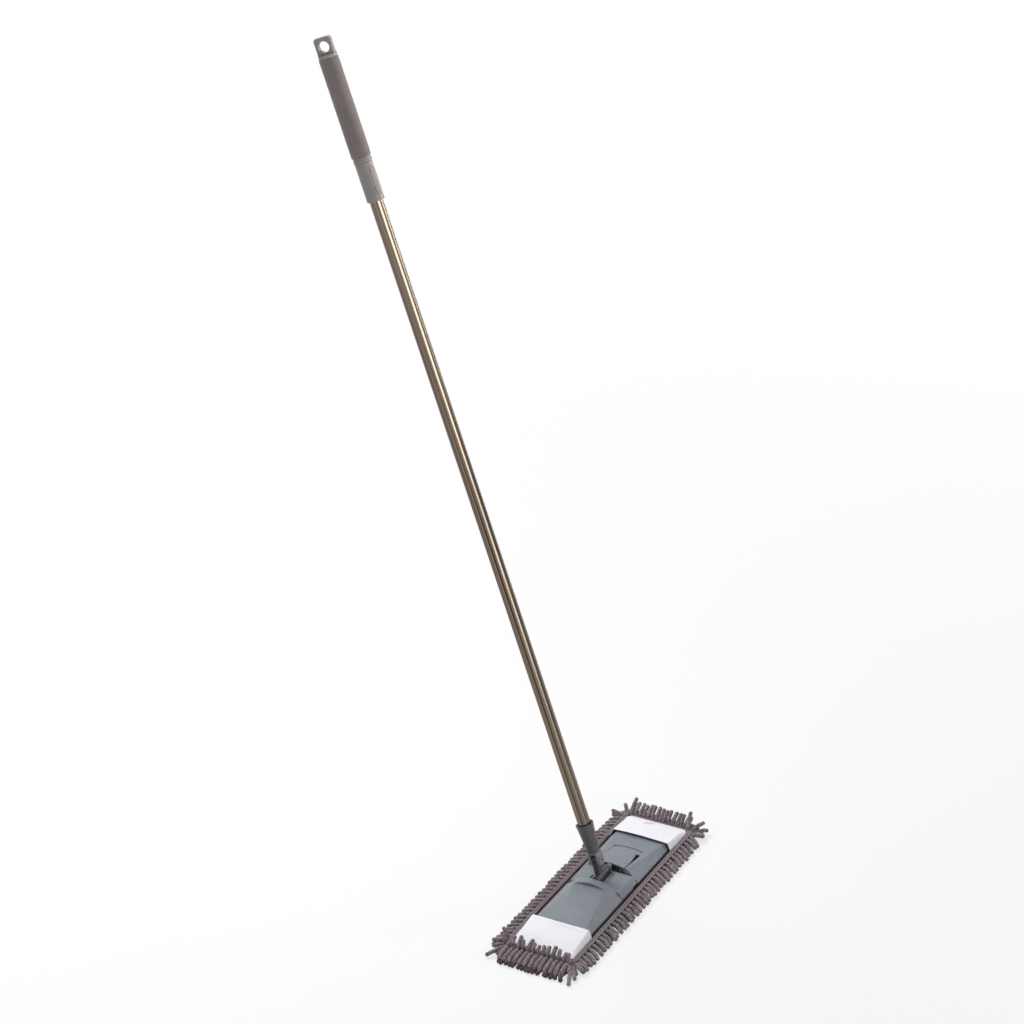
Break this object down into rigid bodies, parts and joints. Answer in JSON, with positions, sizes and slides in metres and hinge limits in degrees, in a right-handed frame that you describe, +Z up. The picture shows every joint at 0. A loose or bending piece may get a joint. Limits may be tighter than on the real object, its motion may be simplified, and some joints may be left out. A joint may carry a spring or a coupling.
{
  "type": "dust mop",
  "caption": "Flat chenille dust mop with a folding pocket plate, a foot pedal latch, a two-way swivel and a telescopic steel handle with a foam grip and hang cap.",
  "frame": {"origin": "on the floor, at the middle of the pad's sole, below the swivel's barrel", "axes": "+Z up from the floor, +X along the plate towards the wing with the pedal, +Y the side that the handle leans to"},
  "size_m": [0.5138, 0.6042, 1.4113],
  "materials": {
    "plate_plastic": "fine satin grain, moulded",
    "joint_plastic": "fine satin grain, moulded",
    "cap_plastic": "satin, moulded",
    "tube_steel": "satin, drawn lengthwise",
    "pin_steel": "plain ground pins and wire",
    "foam": "matt closed-cell foam",
    "chenille": "matt tufted microfibre",
    "tape": "ribbed woven tape",
    "pocket_cloth": "plain woven cloth"
  },
  "bodies": {
    "head": {"near_wing": "plate_plastic", "axle_pin": "pin_steel", "fold_pins": "pin_steel", "sole_near": "chenille", "backing_near": "tape", "pocket_near": "pocket_cloth", "binding_near": "tape", "fringe_near_left": "chenille", "fringe_near_right": "chenille", "fringe_near_end": "chenille", "pad_bend": "chenille", "binding_bend": "tape"},
    "fold_wing": {"far_wing": "plate_plastic", "pedal_pin": "pin_steel", "pedal_spring": "pin_steel", "sole_far": "chenille", "backing_far": "tape", "pocket_far": "pocket_cloth", "binding_far": "tape", "fringe_far_left": "chenille", "fringe_far_right": "chenille", "fringe_far_end": "chenille"},
    "foot_pedal": {"pedal": "plate_plastic"},
    "swivel": {"swivel_block": "joint_plastic", "fork_pin": "pin_steel"},
    "lower_handle": {"fork": "joint_plastic", "socket": "joint_plastic", "lower_tube": "tube_steel", "lock_collar": "cap_plastic"},
    "slide_lock": {"lock_cam": "plate_plastic"},
    "upper_handle": {"inner_tube": "tube_steel", "lock_plug": "cap_plastic", "grip_ring": "cap_plastic", "foam_grip": "foam", "hang_cap": "cap_plastic"}
  },
  "joints": [
    {"name": "plate_fold", "type": "hinge", "parent": "head", "child": "fold_wing", "pos_m": [0.032, 0, 0.016], "axis": [0, 1, 0], "range_deg": [0, 90], "deforming": ["pad_bend", "binding_bend"]},
    {"name": "pedal_press", "type": "hinge", "parent": "fold_wing", "child": "foot_pedal", "pos_m": [0.1, 0, 0.0196], "axis": [0, -1, 0], "range_deg": [0, 3.5], "stiffness_Nm_per_rad": 2, "springref_deg": -5.73, "deforming": ["pedal_spring"]},
    {"name": "swivel_pitch", "type": "hinge", "parent": "head", "child": "swivel", "pos_m": [0, 0, 0.0355], "axis": [1, 0, 0], "range_deg": [-58, 98]},
    {"name": "swivel_roll", "type": "hinge", "parent": "swivel", "child": "lower_handle", "pos_m": [0, 0.00923, 0.06087], "axis": [0, 0.9397, -0.342], "range_deg": [-60, 60]},
    {"name": "handle_slide", "type": "slide", "parent": "lower_handle", "child": "slide_lock", "axis": [0, 0.342, 0.9397], "range_m": [0, 0.25]},
    {"name": "handle_twist", "type": "hinge", "parent": "slide_lock", "child": "upper_handle", "pos_m": [0, 0, 0.0355], "axis": [0, 0.342, 0.9397], "range_deg": [0, 90]}
  ]
}
